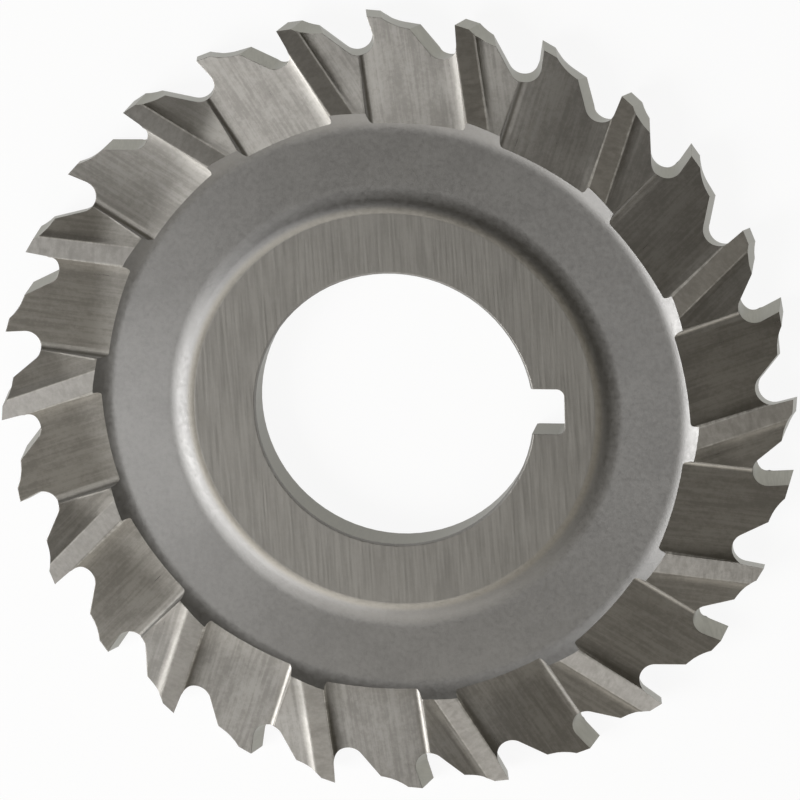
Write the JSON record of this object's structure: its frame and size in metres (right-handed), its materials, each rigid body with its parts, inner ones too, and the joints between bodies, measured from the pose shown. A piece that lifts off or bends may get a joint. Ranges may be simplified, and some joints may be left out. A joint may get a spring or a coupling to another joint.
{
  "type": "side milling cutter",
  "caption": "Narrow disc-shaped side milling cutter with staggered teeth, a recessed web and a keyed bore, for cutting slots.",
  "frame": {"origin": "on the bore's axis at the lower hub face, the bottom centre of the box", "axes": "+Z along the bore axis out of the upper side, +X through the middle of the keyway; the teeth point anticlockwise seen from +Z"},
  "size_m": [0.0634, 0.0634, 0.0032],
  "materials": {
    "tool_steel": "ground on the hub and the teeth, matt on the web"
  },
  "bodies": {
    "root": {"side_milling_cutter": "tool_steel"}
  },
  "joints": []
}
